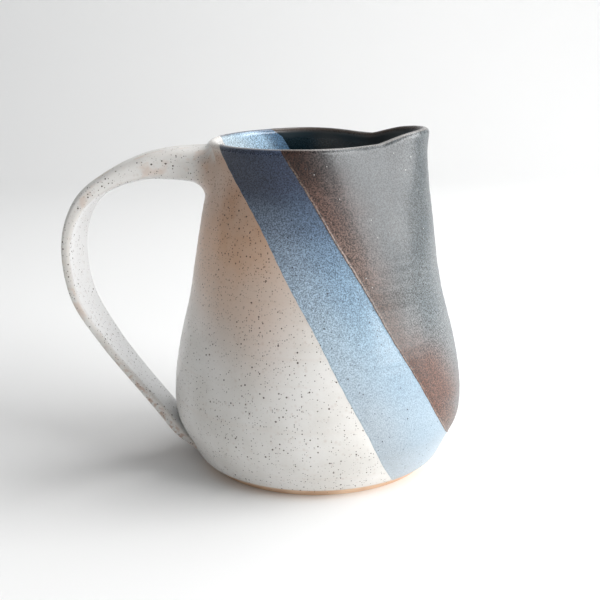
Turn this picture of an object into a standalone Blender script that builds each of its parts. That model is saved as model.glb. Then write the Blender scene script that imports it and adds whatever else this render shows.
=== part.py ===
"""Wheel-thrown stoneware pitcher: a bellied body with a pinched spout, a pulled strap handle luted
on with two soft coils, and three glaze coats that meet along two slanted dip lines.

Metres, +Z up. The origin is the centre of the flat foot, +X points to the spout, -X to the handle.
"""

import math

import bmesh
import bpy
from mathutils import Matrix, Vector

# Clay body. Heights are above the table, radii are to the outside of the bare clay.
RIM_HEIGHT = 0.1592
RIM_THICKNESS = 0.0030
OUTSIDE = (  # (height, radius), foot to shoulder of the rim
    (0.0, 0.0546),
    (0.006, 0.0602),
    (0.014, 0.0643),
    (0.026, 0.0698),
    (0.042, 0.0702),
    (0.062, 0.0670),
    (0.085, 0.0612),
    (0.100, 0.0585),
    (0.122, 0.0544),
    (0.140, 0.0508),
    (0.1576, 0.0496),
)
WALL_AT_BELLY = 0.0052
WALL_AT_RIM = 0.0034
FLOOR = 0.0070
FLOOR_FILLET_HEIGHT = 0.0150
FLOOR_FILLET_WIDTH = 0.0170
FOOT_BEVEL = 0.0006
INNER_RINGS = (0.030, 0.040, 0.052, 0.066, 0.082, 0.100, 0.118, 0.134, 0.147)  # heights, upwards
OUTER_RINGS = (0.148, 0.136, 0.120, 0.102, 0.084, 0.068, 0.054, 0.043, 0.034, 0.026, 0.019, 0.012, 0.0075)
FLOOR_FILLET_STEPS = 3
RIM_ROUND_STEPS = 5
TURN_STEPS = 40

# Spout: the wall is pushed out along the spout, pinched in on both sides of it, and the tip is
# flared and lifted.
PINCH_ANGLE = math.radians(42)
PINCH_DEPTH = 0.0100
PINCH_FADE = math.radians(54)
PINCH_START = 0.112
PINCH_POWER = 1.8
SPOUT_BULGE = 0.0034
BULGE_START = 0.100
BULGE_FULL = 0.140
BULGE_POWER = 1.1
TIP_FULLNESS = 1.4
TIP_FLARE = 0.0015
FLARE_START = 0.150
TIP_LIFT = 0.0048
LIFT_ANGLE = math.radians(38)
LIFT_START = 0.135
LIFT_POWER = 1.5
THROAT_DIP = 0.0009
ON_AXIS = 1e-6

# Handle: stations along the strap, as (x, z, thickness, width, twist in degrees) of the glazed strap.
STRAP = (
    (-0.0440, 0.1489, 0.0166, 0.0300, 0.0),
    (-0.0545, 0.1489, 0.0164, 0.0280, 0.0),
    (-0.0680, 0.1491, 0.0146, 0.0255, 0.0),
    (-0.0814, 0.1478, 0.0118, 0.0250, 0.0),
    (-0.0984, 0.1413, 0.0094, 0.0258, 2.0),
    (-0.1117, 0.1303, 0.0078, 0.0272, 5.0),
    (-0.1184, 0.1110, 0.0058, 0.0278, 8.0),
    (-0.1160, 0.0855, 0.0052, 0.0270, 7.0),
    (-0.1046, 0.0633, 0.0050, 0.0252, 4.0),
    (-0.0915, 0.0442, 0.0052, 0.0235, 2.0),
    (-0.0800, 0.0288, 0.0060, 0.0235, 0.0),
    (-0.0706, 0.0160, 0.0060, 0.0245, 0.0),
    (-0.0622, 0.0062, 0.0046, 0.0250, 0.0),
)
STRAP_RINGS_PER_SPAN = 2
STRAP_SECTION_POINTS = 12
STRAP_SQUARENESS = 0.62

# Coils of soft clay worked into the corners where the strap meets the body.
UPPER_COIL = {"height": 0.1425, "leg": 0.0058, "half_angle": math.radians(12)}
LOWER_COIL = {"height": 0.0262, "leg": 0.0034, "half_angle": math.radians(7)}
COIL_POINTS = 7

# Glaze. Each dip line is the flat surface of the glaze bath across the tilted pot, given as the
# unit normal of that plane and its distance from the origin.
GLAZE = 0.0005
GAP = 0.0003
COAT = GAP + GLAZE
BARE_FOOT = 0.0044
WHITE_LINE = (Vector((0.8971, 0.0841, 0.4338)), 0.02871)
DARK_LINE = (Vector((0.8701, 0.0784, 0.4865)), 0.0613)
CUTTER_SIZE = 0.5

COLOURS = {  # base colour, roughness
    "stoneware": ((0.56, 0.36, 0.22), 0.85),
    "white": ((0.66, 0.62, 0.57), 0.35),
    "blue": ((0.13, 0.26, 0.46), 0.25),
    "dark": ((0.10, 0.10, 0.10), 0.30),
}


def clear_scene():
    for obj in list(bpy.data.objects):
        bpy.data.objects.remove(obj, do_unlink=True)


def new_collection(name):
    collection = bpy.data.collections.new(name)
    bpy.context.scene.collection.children.link(collection)
    return collection


def material(name):
    colour, roughness = COLOURS[name]
    made = bpy.data.materials.new(name)
    made.use_nodes = True
    shader = made.node_tree.nodes["Principled BSDF"]
    shader.inputs["Base Color"].default_value = (*colour, 1.0)
    shader.inputs["Roughness"].default_value = roughness
    shader.inputs["Metallic"].default_value = 0.0
    return made


def new_object(name, mesh, collection):
    obj = bpy.data.objects.new(name, mesh)
    collection.objects.link(obj)
    return obj


def make_cutter(obj):
    obj.hide_render = True
    obj.display_type = "WIRE"
    return obj


def evaluated_mesh(obj):
    """The object's mesh as its modifiers leave it, welded into one closed surface."""
    graph = bpy.context.evaluated_depsgraph_get()
    mesh = bpy.data.meshes.new_from_object(obj.evaluated_get(graph), depsgraph=graph)
    work = bmesh.new()
    work.from_mesh(mesh)
    bmesh.ops.remove_doubles(work, verts=work.verts, dist=1e-6)
    bmesh.ops.transform(work, matrix=obj.matrix_world, verts=work.verts)
    work.to_mesh(mesh)
    work.free()
    return mesh


def boolean(obj, operation, other):
    cut = obj.modifiers.new(f"{operation} {other.name}", "BOOLEAN")
    cut.operation = operation
    cut.solver = "EXACT"
    cut.object = other


def finish(obj, colour):
    obj.data.materials.clear()
    obj.data.materials.append(material(colour))
    obj.data.shade_smooth()
    obj.data.set_sharp_from_angle(angle=math.radians(40))


# ---- the turned body -------------------------------------------------------------------------


def through(points, at):
    """A smooth curve through points of (position, value, ...), read at one position."""
    last = len(points) - 2
    i = max(0, min(last, sum(1 for point in points[1:] if point[0] < at)))
    before, start, end, after = (points[max(0, min(last + 1, i + k))] for k in (-1, 0, 1, 2))
    span = end[0] - start[0]
    t = (at - start[0]) / span
    values = []
    for k in range(1, len(start)):
        slope_in = span * (end[k] - before[k]) / (end[0] - before[0])
        slope_out = span * (after[k] - start[k]) / (after[0] - start[0])
        values.append(
            (2 * t**3 - 3 * t**2 + 1) * start[k]
            + (t**3 - 2 * t**2 + t) * slope_in
            + (3 * t**2 - 2 * t**3) * end[k]
            + (t**3 - t**2) * slope_out
        )
    return values


def outer_radius(height):
    return through(OUTSIDE, height)[0]


def inner_radius(height):
    share = height / OUTSIDE[-1][0]
    wall = WALL_AT_BELLY + share * (WALL_AT_RIM - WALL_AT_BELLY)
    return outer_radius(height) - wall


def floor_and_inner_wall():
    """(radius, height) from the middle of the floor, round its fillet and up to the rim."""
    top = FLOOR + FLOOR_FILLET_HEIGHT
    edge = inner_radius(top) - FLOOR_FILLET_WIDTH
    points = [(0.0, FLOOR), (0.5 * edge, FLOOR), (edge, FLOOR)]
    for k in range(1, FLOOR_FILLET_STEPS + 1):
        turn = 0.5 * math.pi * k / FLOOR_FILLET_STEPS
        across = edge + FLOOR_FILLET_WIDTH * math.sin(turn)
        points.append((across, top - FLOOR_FILLET_HEIGHT * math.cos(turn)))
    points.extend((inner_radius(height), height) for height in INNER_RINGS)
    return points


def rim_round():
    """The rounded lip, from its inner to its outer side."""
    height = OUTSIDE[-1][0]
    middle = outer_radius(height) - RIM_THICKNESS / 2
    points = []
    for k in range(RIM_ROUND_STEPS + 1):
        turn = math.pi * k / RIM_ROUND_STEPS
        across = middle - RIM_THICKNESS / 2 * math.cos(turn)
        points.append((across, height + (RIM_HEIGHT - height) * math.sin(turn)))
    return points


def outer_wall():
    """(radius, height) down the outside, from under the rim to the bare foot."""
    return [(outer_radius(height), height) for height in (*OUTER_RINGS, BARE_FOOT)]


def foot():
    return [
        (outer_radius(FOOT_BEVEL), FOOT_BEVEL),
        (OUTSIDE[0][1] - FOOT_BEVEL, 0.0),
        (0.5 * OUTSIDE[0][1], 0.0),
        (0.0, 0.0),
    ]


def fade(height, start, power, full=RIM_HEIGHT):
    """0 below the start height, growing to 1 at the full height."""
    share = (height - start) / (full - start)
    return min(1.0, max(0.0, share)) ** power


def pulled(point):
    """Where the potter's fingers leave a point of the turned wall when they form the spout."""
    radius = math.hypot(point.x, point.y)
    if radius < ON_AXIS:
        return point.copy()
    angle = abs(math.atan2(point.y, point.x))
    if angle < PINCH_ANGLE:
        share = angle / PINCH_ANGLE
        tip = (1 - share) ** 2 * (1 + TIP_FULLNESS * share)
        pinch = 1 - tip
    else:
        past = min(1.0, (angle - PINCH_ANGLE) / PINCH_FADE)
        tip = 0.0
        pinch = math.cos(0.5 * math.pi * past) ** 2
    out = SPOUT_BULGE * tip * fade(point.z, BULGE_START, BULGE_POWER, BULGE_FULL)
    out += TIP_FLARE * tip * fade(point.z, FLARE_START, LIFT_POWER)
    out -= PINCH_DEPTH * pinch * fade(point.z, PINCH_START, PINCH_POWER)
    lift = TIP_LIFT * max(0.0, 1 - (angle / LIFT_ANGLE) ** 2) ** LIFT_POWER
    lift -= THROAT_DIP * max(pinch, tip)
    scale = (radius + out) / radius
    raised = point.z + lift * fade(point.z, LIFT_START, LIFT_POWER)
    return Vector((point.x * scale, point.y * scale, raised))


def turned(name, outline, collection):
    """A profile of (radius, height) turned about Z with a Screw modifier, then given its spout."""
    mesh = bpy.data.meshes.new(name)
    edges = list(zip(range(len(outline)), range(1, len(outline))))
    mesh.from_pydata([(radius, 0.0, height) for radius, height in outline], edges, [])
    profile = new_object(name + "_profile", mesh, collection)
    screw = profile.modifiers.new("Turn", "SCREW")
    screw.steps = TURN_STEPS
    screw.render_steps = TURN_STEPS
    screw.use_merge_vertices = True
    screw.merge_threshold = 1e-5
    solid = evaluated_mesh(profile)
    solid.name = name
    bpy.data.objects.remove(profile, do_unlink=True)
    for vertex in solid.vertices:
        vertex.co = pulled(vertex.co)
    return new_object(name, solid, collection)


def grown(obj, distance):
    """Moves a mesh's surface outwards along its normals."""
    moves = [vertex.normal * distance for vertex in obj.data.vertices]
    for vertex, move in zip(obj.data.vertices, moves):
        vertex.co += move
    return obj


def thrown_body(collection):
    outline = floor_and_inner_wall() + rim_round() + outer_wall() + foot()
    body = turned("thrown_body", outline, collection)
    finish(body, "stoneware")
    return body


def body_clearance(name, distance, cutters):
    """The body as a solid block, this far outside its wall, to trim what is stuck on to it."""
    block = turned(name, [(0.0, RIM_HEIGHT), *rim_round()[3:], *outer_wall(), *foot()], cutters)
    return make_cutter(grown(block, distance))


# ---- the handle ------------------------------------------------------------------------------


def strap_at(position):
    """Centre, thickness and width of the strap at a position counted in stations."""
    stations = [(index, *station) for index, station in enumerate(STRAP)]
    x, z, thickness, width, twist = through(stations, position)
    return Vector((x, 0.0, z)), thickness, width, math.radians(twist)


def strap_section(position, grow):
    """The points round the strap's rounded flat section, square to its run and twisted about it."""
    centre, thickness, width, twist = strap_at(position)
    ahead = min(position + 0.05, len(STRAP) - 1)
    behind = max(position - 0.05, 0.0)
    run = (strap_at(ahead)[0] - strap_at(behind)[0]).normalized()
    level = Vector((0.0, 1.0, 0.0))
    across = level * math.cos(twist) - level.cross(run) * math.sin(twist)
    out = across.cross(run)
    points = []
    for k in range(STRAP_SECTION_POINTS):
        turn = 2 * math.pi * k / STRAP_SECTION_POINTS
        side, face = math.cos(turn), math.sin(turn)
        side = math.copysign(abs(side) ** STRAP_SQUARENESS, side) * (width / 2 + grow)
        face = math.copysign(abs(face) ** STRAP_SQUARENESS, face) * (thickness / 2 + grow)
        points.append(centre + across * side + out * face)
    return points


def strap(name, grow, collection):
    """The handle's strap as one closed loft, grown or shrunk all round by a distance."""
    mesh = bpy.data.meshes.new(name)
    work = bmesh.new()
    rings = []
    for k in range((len(STRAP) - 1) * STRAP_RINGS_PER_SPAN + 1):
        points = strap_section(k / STRAP_RINGS_PER_SPAN, grow)
        rings.append([work.verts.new(point) for point in points])
    for first, second in zip(rings, rings[1:]):
        for k in range(STRAP_SECTION_POINTS):
            after = (k + 1) % STRAP_SECTION_POINTS
            work.faces.new((first[k], first[after], second[after], second[k]))
    work.faces.new(rings[0])
    work.faces.new(rings[-1])
    bmesh.ops.recalc_face_normals(work, faces=work.faces)
    work.to_mesh(mesh)
    work.free()
    return new_object(name, mesh, collection)


def strap_cutter(name, grow, cutters):
    return make_cutter(strap(name, grow, cutters))


def coil(name, shape, grow, collection):
    """A square coil laid round the body in a corner, so that one of its faces bridges the corner."""
    curve = bpy.data.curves.new(name, "CURVE")
    curve.dimensions = "3D"
    curve.twist_mode = "Z_UP"
    curve.bevel_depth = shape["leg"] + grow
    curve.bevel_resolution = 0
    curve.use_fill_caps = True
    line = curve.splines.new("POLY")
    line.points.add(COIL_POINTS - 1)
    radius = outer_radius(shape["height"])
    reach = shape["half_angle"] + grow / radius
    for k, point in enumerate(line.points):
        turn = math.pi + reach * (2 * k / (COIL_POINTS - 1) - 1)
        point.co = (radius * math.cos(turn), radius * math.sin(turn), shape["height"], 1.0)
    guide = new_object(name + "_path", curve, collection)
    mesh = evaluated_mesh(guide)
    bpy.data.objects.remove(guide, do_unlink=True)
    return new_object(name, mesh, collection)


# ---- the glaze -------------------------------------------------------------------------------


def glaze_shell(name, collection):
    """A glaze coat over everything but the foot: the clay's surface, moved out and thickened."""
    outline = floor_and_inner_wall() + rim_round() + outer_wall()
    shell = grown(turned(name, outline, collection), GAP)
    skin = shell.modifiers.new("Glaze thickness", "SOLIDIFY")
    skin.thickness = GLAZE
    skin.offset = 1.0
    skin.use_even_offset = True
    return shell


def dip_side(name, line, towards, shift, cutters):
    """A block that fills one side of a dip line: -1 is the handle side, +1 the spout side."""
    normal, distance = line
    mesh = bpy.data.meshes.new(name)
    work = bmesh.new()
    bmesh.ops.create_cube(work, size=CUTTER_SIZE)
    turn = normal.to_track_quat("Z", "Y").to_matrix().to_4x4()
    centre = normal * (distance + shift + towards * CUTTER_SIZE / 2)
    bmesh.ops.transform(work, matrix=Matrix.Translation(centre) @ turn, verts=work.verts)
    work.to_mesh(mesh)
    work.free()
    return make_cutter(new_object(name, mesh, cutters))


def main():
    clear_scene()
    parts = new_collection("ceramic_pitcher")
    cutters = new_collection("cutters")

    thrown_body(parts)
    clay_room = body_clearance("clay_room", GAP, cutters)
    coat_room = body_clearance("coat_room", COAT + GAP, cutters)

    handle = strap("pulled_handle", -COAT, parts)
    boolean(handle, "DIFFERENCE", clay_room)
    finish(handle, "stoneware")

    handle_room = strap_cutter("handle_room", -GLAZE, cutters)
    coil_rooms = []
    for name, shape in (("upper_join_coil", UPPER_COIL), ("lower_join_coil", LOWER_COIL)):
        piece = coil(name, shape, 0.0, parts)
        boolean(piece, "DIFFERENCE", clay_room)
        boolean(piece, "DIFFERENCE", handle_room)
        finish(piece, "white")
        coil_rooms.append(make_cutter(coil(name + "_room", shape, GAP, cutters)))

    sleeve = strap("handle_white_glaze", 0.0, parts)
    boolean(sleeve, "DIFFERENCE", handle_room)
    boolean(sleeve, "DIFFERENCE", coat_room)
    white = glaze_shell("body_white_glaze", parts)
    boolean(white, "INTERSECT", dip_side("white_dip", WHITE_LINE, -1, -GAP / 2, cutters))
    boolean(white, "DIFFERENCE", strap_cutter("sleeve_room", GAP, cutters))
    for room in coil_rooms:
        boolean(sleeve, "DIFFERENCE", room)
        boolean(white, "DIFFERENCE", room)
    finish(sleeve, "white")
    finish(white, "white")

    blue = glaze_shell("blue_glaze_band", parts)
    boolean(blue, "DIFFERENCE", dip_side("band_from", WHITE_LINE, -1, GAP / 2, cutters))
    boolean(blue, "DIFFERENCE", dip_side("band_to", DARK_LINE, 1, -GAP / 2, cutters))
    finish(blue, "blue")

    dark = glaze_shell("dark_glaze", parts)
    boolean(dark, "INTERSECT", dip_side("dark_dip", DARK_LINE, 1, GAP / 2, cutters))
    finish(dark, "dark")


main()
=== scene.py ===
import math

import bpy
import numpy as np
from mathutils import Matrix, Vector


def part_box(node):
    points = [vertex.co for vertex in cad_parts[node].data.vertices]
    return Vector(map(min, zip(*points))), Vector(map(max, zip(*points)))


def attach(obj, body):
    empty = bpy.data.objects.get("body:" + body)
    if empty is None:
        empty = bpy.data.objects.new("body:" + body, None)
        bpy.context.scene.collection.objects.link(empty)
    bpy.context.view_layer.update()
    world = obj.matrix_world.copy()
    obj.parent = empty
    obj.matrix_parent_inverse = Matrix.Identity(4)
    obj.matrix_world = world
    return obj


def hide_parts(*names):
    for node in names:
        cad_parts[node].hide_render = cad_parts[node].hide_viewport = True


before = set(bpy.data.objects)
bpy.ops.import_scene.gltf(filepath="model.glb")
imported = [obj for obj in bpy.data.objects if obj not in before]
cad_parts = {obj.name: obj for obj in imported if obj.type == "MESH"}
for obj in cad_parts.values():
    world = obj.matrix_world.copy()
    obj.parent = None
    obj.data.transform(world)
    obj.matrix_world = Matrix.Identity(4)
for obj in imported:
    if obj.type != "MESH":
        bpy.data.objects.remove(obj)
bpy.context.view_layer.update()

# ---- the turned wall, as (height, radius) of the clay ----
OUTSIDE = (
    (0.0000, 0.0546),
    (0.0060, 0.0602),
    (0.0140, 0.0643),
    (0.0260, 0.0698),
    (0.0420, 0.0702),
    (0.0620, 0.0670),
    (0.0850, 0.0612),
    (0.1000, 0.0585),
    (0.1220, 0.0544),
    (0.1400, 0.0508),
    (0.1576, 0.0496),
)
RIM_BASE = OUTSIDE[-1][0]
RIM_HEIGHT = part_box("thrown_body")[0].z + 0.1592
RIM_THICKNESS = 0.0030
RIM_MIDDLE = OUTSIDE[-1][1] - RIM_THICKNESS / 2
WALL_AT_BELLY = 0.0052
WALL_AT_RIM = 0.0034
THINNING_START = 0.147
FLOOR = 0.0070
FLOOR_FILLET_HEIGHT = 0.0150
FLOOR_FILLET_WIDTH = 0.0170
FOOT_BEVEL = 0.0007
BARE_FOOT = 0.0044
COLUMNS = 240
FLOOR_ROWS, FLOOR_FILLET_ROWS, INSIDE_ROWS, RIM_ROWS, OUTSIDE_ROWS = 16, 14, 76, 19, 104
OUTSIDE_END = 0.0092
GLAZE_EDGE_ROWS = (0.0036, 0.0026, 0.0018, 0.0012, 0.0008, 0.0005, 0.0002, 0.0)  # above the bare foot
BARE_ROWS = (0.0037, 0.0030, 0.0023, 0.0017, 0.0012, FOOT_BEVEL)
FOOT_BEVEL_ROWS = 6

# ---- the underside: a flat ring to stand on, and inside it the marks of the cutting wire ----
UNDERSIDE_ROWS = 40
STANDING_RING = 0.0035
HOLLOW_START, HOLLOW_WIDTH, HOLLOW_DEPTH = 0.0045, 0.004, 0.0003
WIRE_CENTRE = (-0.085, 0.03)
WIRE_SPACING, WIRE_DEPTH = 0.00062, 0.00012

# ---- the spout ----
PINCH_ANGLE = math.radians(42)
PINCH_DEPTH = 0.0100
PINCH_FADE = math.radians(54)
PINCH_START = 0.112
PINCH_POWER = 1.8
SPOUT_BULGE = 0.0034
BULGE_START = 0.100
BULGE_FULL = 0.140
BULGE_POWER = 1.1
TIP_FULLNESS = 1.4
TIP_FLARE = 0.0015
FLARE_START = 0.150
FLARE_POWER = 1.5
TIP_LIFT = 0.0048
LIFT_ANGLE = math.radians(38)
LIFT_START = 0.135
LIFT_POWER = 1.5
THROAT_DIP = 0.0009
TIP_SOFTNESS = math.radians(3)
ON_AXIS = 1e-6

# ---- the handle, as (x, z, thickness, width, twist in degrees) ----
STRAP = (
    (-0.0440, 0.1489, 0.0166, 0.0300, 0.0),
    (-0.0545, 0.1489, 0.0164, 0.0280, 0.0),
    (-0.0680, 0.1491, 0.0146, 0.0255, 0.0),
    (-0.0814, 0.1478, 0.0118, 0.0250, 0.0),
    (-0.0984, 0.1413, 0.0094, 0.0258, 2.0),
    (-0.1117, 0.1303, 0.0078, 0.0272, 5.0),
    (-0.1184, 0.1110, 0.0058, 0.0278, 8.0),
    (-0.1160, 0.0855, 0.0052, 0.0270, 7.0),
    (-0.1046, 0.0633, 0.0050, 0.0252, 4.0),
    (-0.0915, 0.0442, 0.0052, 0.0235, 2.0),
    (-0.0800, 0.0288, 0.0060, 0.0235, 0.0),
    (-0.0706, 0.0160, 0.0060, 0.0245, 0.0),
    (-0.0622, 0.0062, 0.0046, 0.0250, 0.0),
)
LAST_STATION = len(STRAP) - 1
BEYOND_LAST = 0.0130  # length of a station's step past the end of the strap
STRAP_SAMPLES = np.linspace(0.2, 12.9, 1300)
MIDDLE_STATION = 6
SECTION_POINTS = 64
SECTION_TURN = 2 * math.pi * (np.arange(SECTION_POINTS) + 0.5) / SECTION_POINTS
OUTER_ROUNDNESS, INNER_ROUNDNESS = 0.66, 0.42  # powers of the sine: 1 is an ellipse, 0 a box
GROOVE_DEPTH, GROOVE_WIDTH, GROOVE_START, GROOVE_END = 0.0006, 0.42, 1.6, 11.0
MIDDLE_ROWS = 110
FILLET_ROWS = 10
UPPER_FILLET, TOP_FILLET, LOWER_FILLET = 0.0105, 0.0022, 0.0012
SMEAR_START, SMEAR_LENGTH, SMEAR_LOWEST = LAST_STATION - 0.95, 1.5, 0.0032
SMALL_STEP = 0.05  # in stations
RAGGED_EDGE = 0.00022
SUNK_INTO_WALL = 0.0004

# ---- the dip lines: unit normal of the plane and its distance from the origin ----
WHITE_LINE = (np.array((0.8971, 0.0841, 0.4338)), 0.02871)
DARK_LINE = (np.array((0.8701, 0.0784, 0.4865)), 0.0613)
INNER_LINE_SHIFT = 0.0035
WHITE_LINE_CUTS = (-0.0012, -0.0004, 0.0, 0.0004, 0.0009, 0.0015)
DARK_LINE_CUTS = (-0.0009, -0.0004, 0.0, 0.0002, 0.0004, 0.0006, 0.0009, 0.0014)

# ---- the coats of glaze ----
COAT = 0.0008
UNDERCOAT = 0.00012
INNER_RING_DEPTH, OUTER_RING_DEPTH = 0.00010, 0.000035
WHITE_EDGE, OVERLAP_RIDGE, OVERLAP_STEP = 0.00010, 0.00030, 0.00008
FOOT_BEAD = 0.00016

SHARP_ANGLE = math.radians(50)
TINY = 1e-12


def smooth(share):
    share = np.clip(share, 0.0, 1.0)
    return share * share * (3 - 2 * share)


def through(points, at):
    """A smooth curve through points of (position, value, ...), read at many positions."""
    table = np.array(points, float)
    at = np.atleast_1d(np.asarray(at, float))
    place = table[:, 0]
    i = np.clip(np.searchsorted(place, at, side="right") - 1, 0, len(place) - 2)
    before, after = np.maximum(i - 1, 0), np.minimum(i + 2, len(place) - 1)
    span = (place[i + 1] - place[i])[:, None]
    t = ((at - place[i])[:, None]) / span
    value = table[:, 1:]
    slope_in = span * (value[i + 1] - value[before]) / (place[i + 1] - place[before])[:, None]
    slope_out = span * (value[after] - value[i]) / (place[after] - place[i])[:, None]
    return (
        (2 * t**3 - 3 * t**2 + 1) * value[i]
        + (t**3 - 2 * t**2 + t) * slope_in
        + (3 * t**2 - 2 * t**3) * value[i + 1]
        + (t**3 - t**2) * slope_out
    )


def outer_radius(height):
    return through(OUTSIDE, height)[:, 0]


def inner_radius(height):
    height = np.asarray(height, float)
    wall = WALL_AT_BELLY + height / RIM_BASE * (WALL_AT_RIM - WALL_AT_BELLY)
    wall = wall - (WALL_AT_RIM - RIM_THICKNESS) * smooth(
        (height - THINNING_START) / (RIM_BASE - THINNING_START)
    )
    return outer_radius(height) - wall


def fade(height, start, power, full=RIM_HEIGHT):
    return np.clip((height - start) / (full - start), 0.0, 1.0) ** power


def pulled(points):
    """Where the potter's fingers leave the turned wall when they form the spout."""
    x, y, z = points.T
    radius = np.maximum(np.hypot(x, y), ON_AXIS)
    angle = np.sqrt(np.arctan2(y, x) ** 2 + TIP_SOFTNESS**2) - TIP_SOFTNESS
    share = np.minimum(angle / PINCH_ANGLE, 1.0)
    tip = (1 - share) ** 2 * (1 + TIP_FULLNESS * share)
    past = np.clip((angle - PINCH_ANGLE) / PINCH_FADE, 0.0, 1.0)
    pinch = np.where(angle < PINCH_ANGLE, 1 - tip, np.cos(0.5 * math.pi * past) ** 2)
    out = SPOUT_BULGE * tip * fade(z, BULGE_START, BULGE_POWER, BULGE_FULL)
    out = out + TIP_FLARE * tip * fade(z, FLARE_START, FLARE_POWER)
    out = out - PINCH_DEPTH * pinch * fade(z, PINCH_START, PINCH_POWER)
    lift = TIP_LIFT * np.maximum(0.0, 1 - (angle / LIFT_ANGLE) ** 2) ** LIFT_POWER
    lift = lift - THROAT_DIP * np.maximum(pinch, tip)
    scale = np.where(radius > 2 * ON_AXIS, (radius + out) / radius, 1.0)
    return np.stack((x * scale, y * scale, z + lift * fade(z, LIFT_START, LIFT_POWER)), axis=1)


# ---- meshes ----


def signed_volume(points, faces):
    """Six times the volume of a closed mesh, negative if its faces point inwards."""
    points = np.asarray(points, float)
    corners = np.array([(f[0], a, b) for f in faces for a, b in zip(f[1:], f[2:])])
    return np.linalg.det(points[corners]).sum()


def new_piece(name, points, faces, replaced, made, values=None):
    """A shaded mesh piece of the root body, with its values per vertex."""
    if signed_volume(points, faces) < 0:
        faces = [f[::-1] for f in faces]
    mesh = bpy.data.meshes.new(name)
    mesh.from_pydata([tuple(p) for p in points], [], faces)
    mesh.validate()
    for label, numbers in (values or {}).items():
        layer = mesh.attributes.new(label, "FLOAT", "POINT")
        layer.data.foreach_set("value", np.asarray(numbers, np.float32))
    mesh.materials.append(made)
    mesh.shade_smooth()
    mesh.set_sharp_from_angle(angle=SHARP_ANGLE)
    piece = bpy.data.objects.new(name, mesh)
    bpy.context.scene.collection.objects.link(piece)
    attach(piece, "root")
    if replaced:
        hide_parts(*replaced)
    return piece


def wall_profile():
    """(radius, height, distance past the rim's crest) from the middle of the floor, over the rim and
    down the outside to the glaze's lower edge. The distance is negative inside."""
    top = FLOOR + FLOOR_FILLET_HEIGHT
    edge = float(inner_radius([top])[0]) - FLOOR_FILLET_WIDTH
    rows = [(edge * k / FLOOR_ROWS, FLOOR) for k in range(FLOOR_ROWS)]
    for turn in np.linspace(0.0, math.pi / 2, FLOOR_FILLET_ROWS)[:-1]:
        rows.append((edge + FLOOR_FILLET_WIDTH * math.sin(turn), top - FLOOR_FILLET_HEIGHT * math.cos(turn)))
    heights = np.linspace(top, RIM_BASE, INSIDE_ROWS)[:-1]
    rows += list(zip(inner_radius(heights), heights))
    crest = len(rows) + RIM_ROWS // 2
    for turn in np.linspace(0.0, math.pi, RIM_ROWS):
        across = RIM_MIDDLE - RIM_THICKNESS / 2 * math.cos(turn)
        rows.append((across, RIM_BASE + (RIM_HEIGHT - RIM_BASE) * math.sin(turn)))
    heights = np.concatenate((
        np.linspace(RIM_BASE, OUTSIDE_END, OUTSIDE_ROWS)[1:], BARE_FOOT + np.array(GLAZE_EDGE_ROWS)
    ))
    rows += list(zip(outer_radius(heights), heights))
    rows = np.array(rows)
    run = np.concatenate(([0.0], np.cumsum(np.hypot(*np.diff(rows, axis=0).T))))
    return np.column_stack((rows, run - run[crest]))


def turned_grid(profile):
    """The profile turned about Z and given its spout: points, outward normals and crest distance, each
    as rows by columns."""
    angles = 2 * math.pi * np.arange(COLUMNS) / COLUMNS
    radius, height, run = (profile[:, k][:, None] + 0 * angles for k in range(3))
    points = np.stack((radius * np.cos(angles), radius * np.sin(angles), height), axis=2)
    points = pulled(points.reshape(-1, 3)).reshape(points.shape)
    around = np.roll(points, -1, axis=1) - np.roll(points, 1, axis=1)
    along = np.gradient(points, axis=0)
    normals = np.cross(along, around)
    normals[0] = (0.0, 0.0, 1.0)
    lengths = np.linalg.norm(normals, axis=2, keepdims=True)
    return points, normals / np.maximum(lengths, TINY), run


def grid_faces(rows, columns, closed_start):
    """Quads of a grid that closes on itself across its columns. A closed start shares one point."""
    faces = []
    for i in range(rows - 1):
        for j in range(columns):
            k = (j + 1) % columns
            a, b, c, d = i * columns + j, i * columns + k, (i + 1) * columns + k, (i + 1) * columns + j
            faces.append([0, c, d] if closed_start and i == 0 else [a, b, c, d])
    return faces


class Surface:
    """A sheet of faces with several numbers per point, which can be split along a level of one. A cut
    keeps clear of the ends of an edge by this share of it."""

    CLEAR = 0.05

    def __init__(self, columns, faces):
        self.data = [tuple(row) for row in columns]
        self.faces = faces

    def split(self, index, level):
        cut = {}
        kept = []
        for face in self.faces:
            over = [self.data[v][index] > level for v in face]
            if all(over) or not any(over):
                kept.append(face)
                continue
            above, below = [], []
            for k, a in enumerate(face):
                b = face[(k + 1) % len(face)]
                (above if over[k] else below).append(a)
                if over[k] == over[(k + 1) % len(face)]:
                    continue
                key = (min(a, b), max(a, b))
                if key not in cut:
                    p, q = self.data[key[0]], self.data[key[1]]
                    share = (level - p[index]) / (q[index] - p[index])
                    share = min(1 - self.CLEAR, max(self.CLEAR, share))
                    row = [u + share * (w - u) for u, w in zip(p, q)]
                    row[index] = level
                    cut[key] = len(self.data)
                    self.data.append(tuple(row))
                above.append(cut[key])
                below.append(cut[key])
            kept += [loop for loop in (above, below) if len(loop) > 2]
        self.faces = kept

    def part(self, keep):
        """The points and faces of the region where the middle of a face is kept."""
        table = np.array(self.data)
        faces = [f for f in self.faces if keep(table[f].mean(axis=0))]
        used = sorted({v for f in faces for v in f})
        place = {v: k for k, v in enumerate(used)}
        return table[used], [[place[v] for v in f] for f in faces]


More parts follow.
